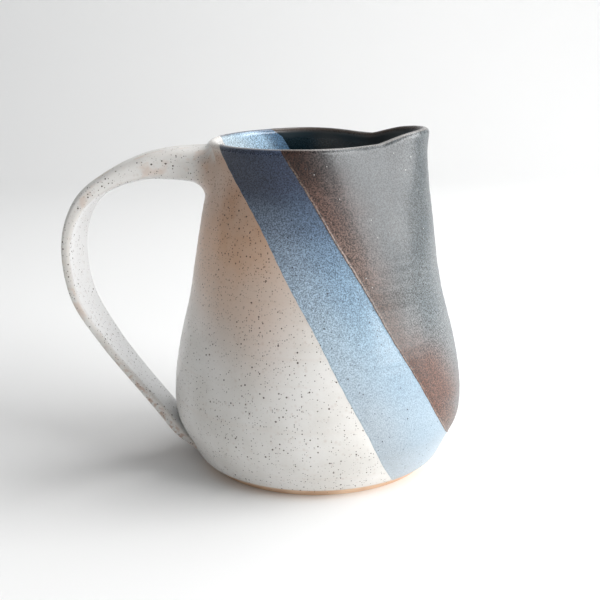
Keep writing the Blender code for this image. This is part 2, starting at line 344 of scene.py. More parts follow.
def closed_shell(table, faces, top, bottom):
    """The sheet given thickness: its points moved along their normals, with walls round its edges."""
    points, normals = table[:, 0:3], table[:, 3:6]
    normals = normals / np.linalg.norm(normals, axis=1, keepdims=True)
    count = len(points)
    both = np.concatenate((points + normals * top[:, None], points + normals * bottom[:, None]))
    edges = {}
    for f in faces:
        for a, b in zip(f, f[1:] + f[:1]):
            edges[(a, b)] = True
    walls = [[b, a, a + count, b + count] for a, b in edges if (b, a) not in edges]
    under = [[v + count for v in reversed(f)] for f in faces]
    return both, faces + under + walls


# ---- the glazes ----

CREST, LINE_1, LINE_2 = 6, 7, 8


def waver(points, seed):
    """How far a dip line wanders, since the bath's surface never stands quite still."""
    x, y, z = points.T
    return (
        0.00020 * np.sin(z / 0.0072 + 2.1 * seed)
        + 0.00013 * np.sin(y / 0.0049 + 1.3 + seed)
        + 0.00007 * np.sin(z / 0.0012 + y / 0.0019 + 4.0 * seed)
    )


def swell(distance, place, width):
    """A smooth hump, 1 high, round a place."""
    return np.exp(-(((distance - place) / width) ** 2))


def glaze_thickness(table):
    """Outer face of the coat above the clay: rings left by the fingers, a bead at the foot and a
    ridge where two glazes overlap."""
    z, crest, line_1, line_2 = table[:, 2], table[:, CREST], table[:, LINE_1], table[:, LINE_2]
    turn = np.arctan2(table[:, 1], table[:, 0])
    inside = crest < 0
    clear = smooth((np.abs(crest) - 0.004) / 0.012)
    rings = np.sin(z / 0.00083 + turn) + 0.6 * np.sin(z / 0.00207 + turn + 1.0)
    thick = COAT + clear * rings * np.where(inside, INNER_RING_DEPTH, OUTER_RING_DEPTH)
    thick = thick + WHITE_EDGE * swell(line_1, 0.0006, 0.0007)
    ridge = OVERLAP_RIDGE * smooth(crest / 0.003) * swell(line_2, 0.0004, 0.00042)
    thick = thick + ridge + OVERLAP_STEP * smooth(line_2 / 0.002)
    up = z - BARE_FOOT
    bead = FOOT_BEAD * swell(up, 0.0011, 0.0009)
    rounded = np.sqrt(np.clip(up / 0.0009, 0.0, 1.0))
    foot = (thick + bead) * (0.35 + 0.65 * rounded)
    return np.where(inside, thick, foot)


def glazed_surface():
    profile = wall_profile()
    points, normals, run = turned_grid(profile)
    flat, normal = points.reshape(-1, 3), normals.reshape(-1, 3)
    run = run.reshape(-1)
    inner_shift = INNER_LINE_SHIFT * smooth(-run / 0.004)
    line_1 = flat @ WHITE_LINE[0] - WHITE_LINE[1] + waver(flat, 0.0)
    line_2 = flat @ DARK_LINE[0] - DARK_LINE[1] - inner_shift + waver(flat, 1.7)
    columns = np.column_stack((flat, normal, run, line_1, line_2))
    surface = Surface(columns, grid_faces(len(profile), COLUMNS, True))
    for level in WHITE_LINE_CUTS:
        surface.split(LINE_1, level)
    for level in DARK_LINE_CUTS:
        surface.split(LINE_2, level)
    return surface


def glaze_piece(name, surface, keep, replaced, made):
    table, faces = surface.part(keep)
    top = glaze_thickness(table)
    bottom = np.minimum(UNDERCOAT, 0.5 * top)
    points, faces = closed_shell(table, faces, top, bottom)
    values = {
        "crest": np.tile(table[:, CREST], 2),
        "line_1": np.tile(table[:, LINE_1], 2),
        "line_2": np.tile(table[:, LINE_2], 2),
    }
    return new_piece(name, points, faces, replaced, made, values)


def clay_body(made):
    """The thrown pot itself: bare at the foot and underneath."""
    profile = wall_profile()[:, :2]
    foot = list(zip(outer_radius(BARE_ROWS), BARE_ROWS))
    for turn in np.linspace(0.0, math.pi / 2, FOOT_BEVEL_ROWS)[1:]:
        inwards, up = FOOT_BEVEL * (1 - math.cos(turn)), FOOT_BEVEL * (1 - math.sin(turn))
        foot.append((foot[len(BARE_ROWS) - 1][0] - inwards, up))
    radius = OUTSIDE[0][1]
    ring = radius - STANDING_RING
    base = [(ring - ring * k / UNDERSIDE_ROWS, 0.0) for k in range(UNDERSIDE_ROWS)]
    base.append((1e-4, 0.0))
    rows = np.concatenate((profile, foot, base))
    points, _, _ = turned_grid(np.column_stack((rows, np.zeros(len(rows)))))
    flat = points.reshape(-1, 3)
    under = flat[:, 2] < ON_AXIS
    across = np.hypot(flat[:, 0], flat[:, 1])
    hollow = smooth((radius - HOLLOW_START - across) / HOLLOW_WIDTH)
    from_wire = np.hypot(flat[:, 0] - WIRE_CENTRE[0], flat[:, 1] - WIRE_CENTRE[1])
    wire = 0.5 + 0.5 * np.sin(from_wire / WIRE_SPACING)
    flat[under, 2] = (hollow * (HOLLOW_DEPTH + WIRE_DEPTH * wire))[under]
    faces = grid_faces(len(rows), COLUMNS, True)
    last = (len(rows) - 1) * COLUMNS
    faces.append([last + j for j in range(COLUMNS)])
    return new_piece("clay_body", flat, faces, ["thrown_body"], made)


# ---- the handle ----


def body_distance(points):
    """How far points are outside the glazed wall on the handle's side."""
    x, y, z = points.T
    across = np.hypot(x, y)
    wall = across - (outer_radius(np.clip(z, 0.0, RIM_BASE)) + COAT)
    over = np.hypot(across - RIM_MIDDLE, np.maximum(z - RIM_BASE, 0.0)) - (RIM_THICKNESS / 2 + COAT)
    return np.where(z > RIM_BASE, over, wall)


def body_normal(points):
    step = 1e-5
    slopes = []
    for axis in range(3):
        move = np.zeros(3)
        move[axis] = step
        slopes.append((body_distance(points + move) - body_distance(points - move)) / (2 * step))
    normal = np.stack(slopes, axis=1)
    return normal / np.linalg.norm(normal, axis=1, keepdims=True)


def strap_lines(places):
    """Points of the strap alone, as places by section points. A place counts stations."""
    stations = [(index, *station) for index, station in enumerate(STRAP)]
    ends = np.clip(places, 0.0, LAST_STATION)
    x, z, thickness, width, twist = through(stations, ends).T
    ahead = through(stations, np.minimum(ends + SMALL_STEP, LAST_STATION))[:, :2]
    behind = through(stations, np.maximum(ends - SMALL_STEP, 0.0))[:, :2]
    run = ahead - behind
    run = run / np.linalg.norm(run, axis=1, keepdims=True)
    centre = np.column_stack((x, z)) + run * (places - ends)[:, None] * BEYOND_LAST
    out = np.stack((run[:, 1], -run[:, 0]), axis=1)
    side, face = np.cos(SECTION_TURN), np.sin(SECTION_TURN)
    power = np.where(face > 0, OUTER_ROUNDNESS, INNER_ROUNDNESS)
    side = np.sign(side) * np.abs(side) ** power
    face = np.sign(face) * np.abs(face) ** power
    groove = np.where(face > 0, swell(side, 0.0, GROOVE_WIDTH), 0.0)
    depth = GROOVE_DEPTH * smooth((places - GROOVE_START) / 1.5) * smooth((GROOVE_END - places) / 2.0)
    level = face[None, :] * thickness[:, None] / 2 - groove[None, :] * depth[:, None]
    reach = side[None, :] * width[:, None] / 2
    turned = np.radians(twist)[:, None]
    level, reach = (
        level * np.cos(turned) - reach * np.sin(turned),
        reach * np.cos(turned) + level * np.sin(turned),
    )
    points = np.empty((len(places), SECTION_POINTS, 3))
    points[:, :, 0] = centre[:, 0][:, None] + out[:, 0][:, None] * level
    points[:, :, 1] = reach
    points[:, :, 2] = centre[:, 1][:, None] + out[:, 1][:, None] * level
    return points


def smeared_strap(places):
    """Points and outward normals of the strap, its lower end smeared on to the belly, and how far each
    point is outside the wall."""
    points = strap_lines(places)
    smear = smooth((places - SMEAR_START) / SMEAR_LENGTH)[:, None]
    flat = points.reshape(-1, 3)
    height = np.maximum(flat[:, 2], SMEAR_LOWEST)
    radius = outer_radius(np.clip(height, 0.0, RIM_BASE)) + COAT
    wall_x = -np.sqrt(np.maximum(radius**2 - flat[:, 1] ** 2, 0.0))
    wall = np.stack((wall_x, flat[:, 1], height), axis=1).reshape(points.shape)
    outer = body_distance(flat).reshape(points.shape[:2]) > 0
    share = (smear * outer)[:, :, None]
    points = points + share * (wall - points)
    around = np.roll(points, -1, axis=1) - np.roll(points, 1, axis=1)
    along = np.gradient(points, axis=0)
    normals = np.cross(around, along)
    normals /= np.maximum(np.linalg.norm(normals, axis=2, keepdims=True), TINY)
    outward = points - points.mean(axis=1, keepdims=True)
    normals *= np.sign((normals * outward).sum(axis=2, keepdims=True))
    distance = body_distance(points.reshape(-1, 3)).reshape(points.shape[:2])
    return points, normals, distance


def handle_rows():
    """The handle's skin from its root at the rim to its lower end, as rows by section points. Each
    line of it leaves the wall in a fillet: at the root a small one over the strap and a large one at
    its sides and below, and at the lower end a small one all round."""
    places = STRAP_SAMPLES
    points, normals, distance = smeared_strap(places)
    upper_fillet = UPPER_FILLET + (TOP_FILLET - UPPER_FILLET) * smooth(np.sin(SECTION_TURN) / 0.95)
    middle = int(np.argmin(np.abs(places - MIDDLE_STATION)))
    share = np.arange(FILLET_ROWS + 1) / FILLET_ROWS
    rows = np.empty((2 * (FILLET_ROWS + 1) + MIDDLE_ROWS, SECTION_POINTS, 3))
    for k in range(SECTION_POINTS):
        line, normal, far = points[:, k], normals[:, k], distance[:, k]
        ends = []
        for fillet, half in ((upper_fillet[k], slice(0, middle)), (LOWER_FILLET, slice(middle, None))):
            away, where = far[half], places[half]
            if half.start:
                away, where = away[::-1], where[::-1]
            inside = np.nonzero(away <= 0)[0]
            first = inside[-1] if len(inside) else 0
            away, where = np.maximum.accumulate(away[first:]), where[first:]
            ends.append(np.interp(fillet * (1 - share) ** 2, away, where))
        upper, lower = ends
        between = np.linspace(upper[0], lower[0], MIDDLE_ROWS + 2)[1:-1]
        at = np.concatenate((upper[::-1], between, lower))
        grow = np.concatenate((
            (upper_fillet[k] * share**2)[::-1], np.zeros(MIDDLE_ROWS), LOWER_FILLET * share**2
        ))
        place = np.stack([np.interp(at, places, line[:, axis]) for axis in range(3)], axis=1)
        push = np.stack([np.interp(at, places, normal[:, axis]) for axis in range(3)], axis=1)
        wall_normal = body_normal(place)
        push = push - (push * wall_normal).sum(axis=1, keepdims=True) * wall_normal
        rows[:, k] = place + push * grow[:, None]
    settle_ends(rows)
    return rows


def settle_ends(rows):
    """Rough up the lower end as fingers leave it, and bring the rows at both ends down to the wall."""
    for row in range(len(rows)):
        end = min(row, len(rows) - 1 - row)
        if row > len(rows) // 2:
            ragged = RAGGED_EDGE * np.sin(np.arange(SECTION_POINTS) * 2.3) * smooth((FILLET_ROWS - end) / 6)
            rows[row] += body_normal(rows[row]) * ragged[:, None]
        if end <= FILLET_ROWS:
            allowed = 0.01 * (end / FILLET_ROWS) ** 2
            near = smooth((3 - end) / 3)
            gap = body_distance(rows[row])
            drop = np.minimum(gap, 0.0) + near * np.maximum(gap - allowed, 0.0)
            rows[row] -= body_normal(rows[row]) * drop[:, None]


def handle_piece(made):
    rows = handle_rows()
    sunk = [rows[i] - body_normal(rows[i]) * SUNK_INTO_WALL for i in (0, -1)]
    rows = np.concatenate((sunk[0][None], rows, sunk[1][None]))
    count = rows.shape[0]
    faces = [f[::-1] for f in grid_faces(count, SECTION_POINTS, False)]
    last = (count - 1) * SECTION_POINTS
    faces.append(list(range(SECTION_POINTS)))
    faces.append([last + j for j in reversed(range(SECTION_POINTS))])
    flat = rows.reshape(-1, 3)
    to_edge = np.abs(np.abs(SECTION_TURN - 1.5 * math.pi) - 0.25 * math.pi)
    values = {
        "root": np.maximum(body_distance(flat), 0.0),
        "line_1": flat @ WHITE_LINE[0] - WHITE_LINE[1],
        "inner_edge": np.tile(to_edge, count),
        "facing": np.tile(-np.sin(SECTION_TURN), count),
    }
    replaced = ["pulled_handle", "handle_white_glaze", "upper_join_coil", "lower_join_coil"]
    return new_piece("glazed_handle", flat, faces, replaced, made, values)


# ---- materials ----


class Look:
    """A Principled material with short calls for the nodes that its patterns are made of."""

    def __init__(self, name, **fixed):
        self.material = bpy.data.materials.new(name)
        self.material.use_nodes = True
        self.tree = self.material.node_tree
        self.shader = self.tree.nodes["Principled BSDF"]
        self.place = self.node("ShaderNodeTexCoord").outputs["Object"]
        for label, value in fixed.items():
            self.shader.inputs[label.replace("_", " ")].default_value = value

    def node(self, kind, **options):
        made = self.tree.nodes.new(kind)
        for label, value in options.items():
            setattr(made, label, value)
        return made

    def feed(self, socket, value):
        if isinstance(value, bpy.types.NodeSocket):
            self.tree.links.new(value, socket)
        elif isinstance(value, tuple) and len(value) == 3 and socket.type == "RGBA":
            socket.default_value = (*value, 1.0)
        else:
            socket.default_value = value

    def math(self, operation, first, second=0.0, third=0.0, clamp=False):
        made = self.node("ShaderNodeMath", operation=operation, use_clamp=clamp)
        for socket, value in zip(made.inputs, (first, second, third)):
            self.feed(socket, value)
        return made.outputs[0]

    def step(self, value, low, high, to_low=0.0, to_high=1.0):
        """0 to 1 smoothly as the value goes from low to high."""
        made = self.node("ShaderNodeMapRange", interpolation_type="SMOOTHSTEP")
        for socket, number in zip(made.inputs, (value, low, high, to_low, to_high)):
            self.feed(socket, number)
        return made.outputs[0]

    def mix(self, share, first, second):
        made = self.node("ShaderNodeMix", data_type="RGBA")
        self.feed(made.inputs[0], share)
        self.feed(made.inputs[6], first)
        self.feed(made.inputs[7], second)
        return made.outputs[2]

    def ramp(self, value, stops):
        made = self.node("ShaderNodeValToRGB")
        line = made.color_ramp
        line.interpolation = "EASE"
        while len(line.elements) < len(stops):
            line.elements.new(0.5)
        for element, (position, colour) in zip(line.elements, stops):
            element.position = position
            element.color = (*colour, 1.0)
        self.feed(made.inputs[0], value)
        return made.outputs[0]

    def attribute(self, name):
        return self.node("ShaderNodeAttribute", attribute_name=name).outputs["Fac"]

    def along(self, axis):
        made = self.node("ShaderNodeSeparateXYZ")
        self.feed(made.inputs[0], self.place)
        return made.outputs["XYZ".index(axis)]

    def height(self):
        return self.along("Z")

    def grained(self, colour, grain, depth):
        """The colour made lighter and darker by this share as the grain goes up and down."""
        swing = self.math("SUBTRACT", self.step(grain, 0.32, 0.68), 0.5)
        return self.scaled(colour, self.math("MULTIPLY_ADD", swing, depth, 1.0))

    def scaled(self, colour, factor):
        """The colour times a factor, which may be over 1."""
        made = self.node("ShaderNodeVectorMath", operation="SCALE")
        self.feed(made.inputs[0], colour)
        self.feed(made.inputs["Scale"], factor)
        return made.outputs[0]

    def stretched(self, scale):
        made = self.node("ShaderNodeVectorMath", operation="MULTIPLY")
        self.feed(made.inputs[0], self.place)
        made.inputs[1].default_value = scale
        return made.outputs[0]

    def noise(self, scale, detail=2.0, place=None, rough=0.5):
        made = self.node("ShaderNodeTexNoise")
        self.feed(made.inputs["Vector"], place or self.place)
        self.feed(made.inputs["Scale"], scale)
        self.feed(made.inputs["Detail"], detail)
        self.feed(made.inputs["Roughness"], rough)
        return made.outputs[0]

    def specks(self, spacing, radius, share, softness=0.25):
        """Round specks, at most this radius, in a share of the cells of this spacing."""
        made = self.node("ShaderNodeTexVoronoi")
        self.feed(made.inputs["Vector"], self.place)
        self.feed(made.inputs["Scale"], 1 / spacing)
        split = self.node("ShaderNodeSeparateColor")
        self.feed(split.inputs[0], made.outputs["Color"])
        size = self.math("SUBTRACT", split.outputs[0], 1 - share)
        size = self.math("MULTIPLY", size, radius / spacing / share)
        gap = self.math("SUBTRACT", size, made.outputs["Distance"])
        return self.math("DIVIDE", gap, softness * radius / spacing, clamp=True)

    def bump(self, height, distance, strength=1.0):
        made = self.node("ShaderNodeBump")
        self.feed(made.inputs["Strength"], strength)
        self.feed(made.inputs["Distance"], distance)
        self.feed(made.inputs["Height"], height)
        previous = self.shader.inputs["Normal"]
        if previous.is_linked:
            self.feed(made.inputs["Normal"], previous.links[0].from_socket)
        self.feed(previous, made.outputs[0])

    def finish(self, colour, roughness):
        self.feed(self.shader.inputs["Base Color"], colour)
        self.feed(self.shader.inputs["Roughness"], roughness)
        return self.material


IRON = (0.045, 0.022, 0.012)
RUST = (0.30, 0.145, 0.070)
WHITE, CLOUDED_WHITE, STREAKED_WHITE = (0.745, 0.73, 0.705), (0.66, 0.64, 0.605), (0.66, 0.61, 0.56)
LOWER_TAN, UPPER_TAN = (0.57, 0.345, 0.215), (0.40, 0.222, 0.128)
THIN_AT_FOOT = (0.52, 0.40, 0.30)
# The last of these browns also paints the shade in the crease at the handle's lower join.
RUBBED, EDGE_BROWN, CHAFED, SEAM_BROWN_AND_SHADE = (
    (0.60, 0.45, 0.36), (0.26, 0.16, 0.11), (0.46, 0.30, 0.22), (0.15, 0.085, 0.055)
)
# Painted shade and painted light on the handle: a grey for its outer face, turned from the lamps, and a
# white for its inner face, turned to them.
PAINTED_SHADE_GREY, PAINTED_LIGHT_WHITE = (0.34, 0.30, 0.27), (0.87, 0.88, 0.885)
# Share of the pale rim line: glaze worn thin, and painted highlight along the crest.
RIM_WEAR_AND_HIGHLIGHT = 0.34
RAMP_TOP = 0.160


def throwing_lines(look):
    """Faint level streaks left by the turning of the wheel."""
    return look.noise(1.0, 3.0, look.stretched((9.0, 9.0, 420.0)))


def iron_specks(look, colour):
    """Iron grains and dust in the clay that bleed through a pale glaze, and faint rusty spots."""
    grains = look.specks(0.0017, 0.00052, 0.42)
    dust = look.specks(0.0010, 0.00036, 0.70, 0.4)
    halo = look.specks(0.0016, 0.00110, 0.40, 0.9)
    colour = look.mix(look.math("MULTIPLY", halo, 0.20), colour, RUST)
    colour = look.mix(look.math("MULTIPLY", dust, 0.85), colour, IRON)
    return look.mix(look.math("MULTIPLY", grains, 0.95), colour, IRON), grains


def toasted(look, cloud):
    """Where the white is thin over toasted clay: in the upper half, a little lower down away from the
    first dip line than beside it, and fading out 6 cm away from it."""
    line = look.attribute("line_1")
    fall = look.math("MULTIPLY", look.math("MAXIMUM", look.math("ADD", line, 0.030), 0.0), 0.8)
    high = look.step(look.math("SUBTRACT", look.height(), fall), 0.044, 0.104)
    thin = look.math("MULTIPLY", high, look.step(line, -0.060, -0.024))
    return look.math("MULTIPLY", thin, look.step(cloud, 0.20, 0.75, 1.0, 0.66))


def root_blush(look, thin):
    """The blush reaches from the pot a little way on to the handle's root, but not over its top."""
    thin = look.math("MULTIPLY", thin, look.step(look.attribute("root"), 0.0, 0.0090, 1.0, 0.0))
    return look.math("MULTIPLY", thin, look.step(look.height(), 0.157, 0.149))


def rubbed_and_shaded_strap(look, pale):
    """Brown smears where the wet handle was stroked, a brown line along its inner edges, painted shade that
    greys the outer face below the top, turned from the lamps, and painted light that whitens the inner face,
    turned to them."""
    facing = look.attribute("facing")
    rub = look.noise(1.0, 3.0, look.stretched((120.0, 260.0, 120.0)))
    rub = look.math("MULTIPLY", look.step(rub, 0.52, 0.70, 0.0, 0.50), look.step(facing, 0.6, 0.2))
    pale = look.mix(rub, pale, RUBBED)
    worn = look.math("MULTIPLY", look.noise(260.0, 3.0), 0.50)
    worn = look.math("ADD", look.attribute("inner_edge"), worn)
    pale = look.mix(look.step(worn, 0.24, 0.42, 0.90, 0.0), pale, EDGE_BROWN)
    # Painted shade: the outer face, turned from the lamps, is greyed below the handle's top.
    outer = look.step(facing, -0.55, -0.95, 0.0, 0.55)
    outer = look.math("MULTIPLY", outer, look.step(look.height(), 0.144, 0.128))
    pale = look.mix(outer, pale, PAINTED_SHADE_GREY)
    # Painted light: the inner face, turned to the lamps, is whitened.
    return look.mix(look.step(facing, 0.4, 0.8), pale, PAINTED_LIGHT_WHITE)


def chafed_and_shaded_end(look, pale):
    """The lower end is chafed brown, and darkest along its seam with the belly, where the brown join also
    paints the shade of the crease.
    """
    low = look.step(look.height(), 0.074, 0.034)
    chafed = look.math("MULTIPLY", look.step(look.noise(420.0, 3.0), 0.44, 0.62), low)
    chafed = look.math("MULTIPLY", chafed, look.step(look.attribute("facing"), 0.30, 0.0))
    pale = look.mix(look.math("MULTIPLY", chafed, 0.75), pale, CHAFED)
    # Brown and painted shade together: darkest within about 2 mm of the belly, in the crease where the
    # strap's lower end meets it.
    seam_and_shade = look.math("MULTIPLY", look.noise(520.0, 2.0), 0.0040)
    seam_and_shade = look.step(look.math("ADD", look.attribute("root"), seam_and_shade), 0.0016, 0.0028, 0.80, 0.0)
    return look.mix(look.math("MULTIPLY", seam_and_shade, low), pale, SEAM_BROWN_AND_SHADE)


def white_glaze(name, on_handle):
    """Satin white over speckled clay, warmer where it is thin."""
    look = Look(name, Specular_IOR_Level=0.5, Coat_Weight=0.25, Coat_Roughness=0.12)
    cloud = look.noise(38.0, 4.0)
    streak = throwing_lines(look)
    pale = look.mix(look.step(cloud, 0.35, 0.68), WHITE, CLOUDED_WHITE)
    pale = look.mix(look.step(streak, 0.50, 0.75, 0.0, 0.30), pale, STREAKED_WHITE)
    tan = look.mix(look.step(look.height(), 0.105, 0.150), LOWER_TAN, UPPER_TAN)
    thin = toasted(look, cloud)
    if on_handle:
        thin = root_blush(look, thin)
        pale = chafed_and_shaded_end(look, look.mix(thin, rubbed_and_shaded_strap(look, pale), tan))
    else:
        outside = look.step(look.attribute("crest"), -0.0010, 0.0060, 0.08, 1.0)
        pale = look.mix(look.math("MULTIPLY", thin, outside), pale, tan)
        foot = look.step(look.height(), BARE_FOOT, BARE_FOOT + 0.0010, 0.45, 0.0)
        pale = look.mix(foot, pale, THIN_AT_FOOT)
    flecks = look.math("MULTIPLY", look.specks(0.0012, 0.00050, 0.75, 0.35), thin)
    pale = look.mix(look.math("MULTIPLY", flecks, 0.85), pale, IRON)
    colour, grains = iron_specks(look, pale)
    look.bump(look.noise(620.0, 2.0), 0.00006)
    look.bump(streak, 0.00010, 0.6)
    look.bump(look.math("MULTIPLY", grains, -1.0), 0.00010)
    roughness = look.step(cloud, 0.3, 0.7, 0.34, 0.46)
    return look.finish(colour, roughness if on_handle else glossy_crest(look, roughness))


def glossy_crest(look, roughness):
    """Melted glaze pools and shines along the rim."""
    away = look.math("ABSOLUTE", look.attribute("crest"))
    return look.math("SUBTRACT", roughness, look.step(away, 0.0012, 0.0034, 0.30, 0.0))


def worn_and_lit_rim(look, colour, worn):
    """The glaze runs thin over the rim's outer edge and shows the clay; this pale line also paints the
    highlight along the crest.
    """
    place = look.math("SUBTRACT", look.attribute("crest"), 0.0004)
    # A pale line just outside the crest: glaze worn thin, and painted highlight on the rim's rounding.
    share = look.step(look.math("ABSOLUTE", place), 0.0002, 0.0007, RIM_WEAR_AND_HIGHLIGHT, 0.0)
    return look.mix(share, colour, worn)


BLUE_BY_HEIGHT = (  # shares of RAMP_TOP
    (0.00, (0.365, 0.435, 0.490)),
    (0.20, (0.290, 0.370, 0.435)),
    (0.38, (0.220, 0.310, 0.385)),
    (0.50, (0.205, 0.305, 0.390)),
    (0.62, (0.180, 0.275, 0.370)),
    (0.71, (0.136, 0.208, 0.295)),
    (0.79, (0.092, 0.138, 0.208)),
    (0.90, (0.038, 0.052, 0.092)),
)
INNER_BLUE = (  # towards the second dip line
    (0.00, (0.53, 0.575, 0.605)),
    (0.40, (0.40, 0.49, 0.55)),
    (0.84, (0.29, 0.43, 0.56)),
    (1.00, (0.06, 0.13, 0.22)),
)
MILKY_FLECK, INKY_FLECK, BLUE_GRAIN = (0.42, 0.52, 0.64), (0.020, 0.028, 0.050), (0.02, 0.020, 0.028)
# Pale grey of the rim line on the blue: worn glaze, and painted highlight.
BLUE_WORN_AND_HIGHLIGHT = (0.44, 0.43, 0.43)


def blue_glaze():
    """Blue that is thick and inky at the rim and thins to a milky sky blue at the belly."""
    look = Look("blue_glaze", Specular_IOR_Level=0.5, Coat_Weight=0.2, Coat_Roughness=0.15)
    uneven = look.math("MULTIPLY_ADD", look.noise(46.0, 4.0), 0.020, -0.010)
    height = look.math("ADD", look.height(), uneven)
    colour = look.ramp(look.math("DIVIDE", height, RAMP_TOP), BLUE_BY_HEIGHT)
    edge = look.step(look.attribute("line_1"), 0.004, 0.024, 1.0, 0.0)
    # Painted light: near the first dip line, on the side turned from the lamps, the blue is lightened by up
    # to 36 % at mid height.
    lift = look.math("MULTIPLY", edge, look.step(look.height(), 0.148, 0.118, 0.0, 0.36))
    lift = look.math("MULTIPLY", lift, look.step(look.height(), 0.030, 0.070))
    colour = look.scaled(colour, look.math("ADD", lift, 1.0))
    grey = look.node("ShaderNodeRGBToBW")
    look.feed(grey.inputs[0], colour)
    colour = look.mix(look.math("MULTIPLY", edge, 0.35), colour, grey.outputs[0])
    milky = look.step(look.attribute("crest"), -0.002, 0.0, 1.0, 0.0)
    inner = look.ramp(look.step(look.attribute("line_2"), -0.040, 0.0), INNER_BLUE)
    colour = look.mix(milky, colour, inner)
    grain = look.noise(1700.0, 2.0, None, 0.6)
    depth = look.step(look.height(), 0.03, 0.12, 0.32, 1.10)
    colour = look.grained(colour, grain, depth)
    pale = look.specks(0.0009, 0.00028, 0.45, 0.6)
    colour = look.mix(look.math("MULTIPLY", pale, 0.16), colour, MILKY_FLECK)
    fine = look.specks(0.0008, 0.00028, 0.60, 0.5)
    fine = look.math("MULTIPLY", fine, look.step(look.height(), 0.005, 0.060, 0.30, 0.80))
    colour = look.mix(fine, colour, INKY_FLECK)
    grains = look.specks(0.0017, 0.00048, 0.38)
    colour = look.mix(look.math("MULTIPLY", grains, 0.85), colour, BLUE_GRAIN)
    colour = worn_and_lit_rim(look, colour, BLUE_WORN_AND_HIGHLIGHT)
    look.bump(grain, 0.00008, 0.8)
    look.bump(throwing_lines(look), 0.00010, 0.5)
    return look.finish(colour, glossy_crest(look, look.step(grain, 0.3, 0.7, 0.34, 0.48)))


WARM_BY_HEIGHT = (  # shares of RAMP_TOP
    (0.00, (0.070, 0.049, 0.041)),
    (0.55, (0.078, 0.053, 0.043)),
    (0.72, (0.135, 0.088, 0.072)),
    (0.84, (0.100, 0.056, 0.044)),
    (0.96, (0.036, 0.016, 0.011)),
)
# Grey with a teal cast: partly the glaze's own colour and partly painted sheen of the bright room.
STEEL_AND_SHEEN, PALE_STEEL_AND_SHEEN = (0.062, 0.073, 0.079), (0.082, 0.091, 0.095)
# The last colour is a pale tan for the overlap ridge: partly the glaze's own tan and partly painted
# highlight.
PATCH_BROWN, RIM_BROWN, RIDGE_TAN_AND_HIGHLIGHT = (0.060, 0.024, 0.014), (0.070, 0.050, 0.040), (0.36, 0.28, 0.22)
METAL_FLECK, DARK_DOT = (0.34, 0.35, 0.36), (0.012, 0.011, 0.012)
# The first colour is painted glints: the sparkle of the metal in the glaze.
PAINTED_GLINT, DARK_GRAIN = (0.62, 0.62, 0.60), (0.02, 0.018, 0.018)
# Nearly black inside: dark pooled glaze, darkened further as painted shade of the pot's inside.
POOL_AND_SHADE, PALE_POOL_AND_SHADE = (0.003, 0.012, 0.018), (0.007, 0.022, 0.030)
# Pale grey of the rim line on the dark glaze: worn glaze, and painted highlight.
DARK_WORN_AND_HIGHLIGHT = (0.40, 0.36, 0.33)


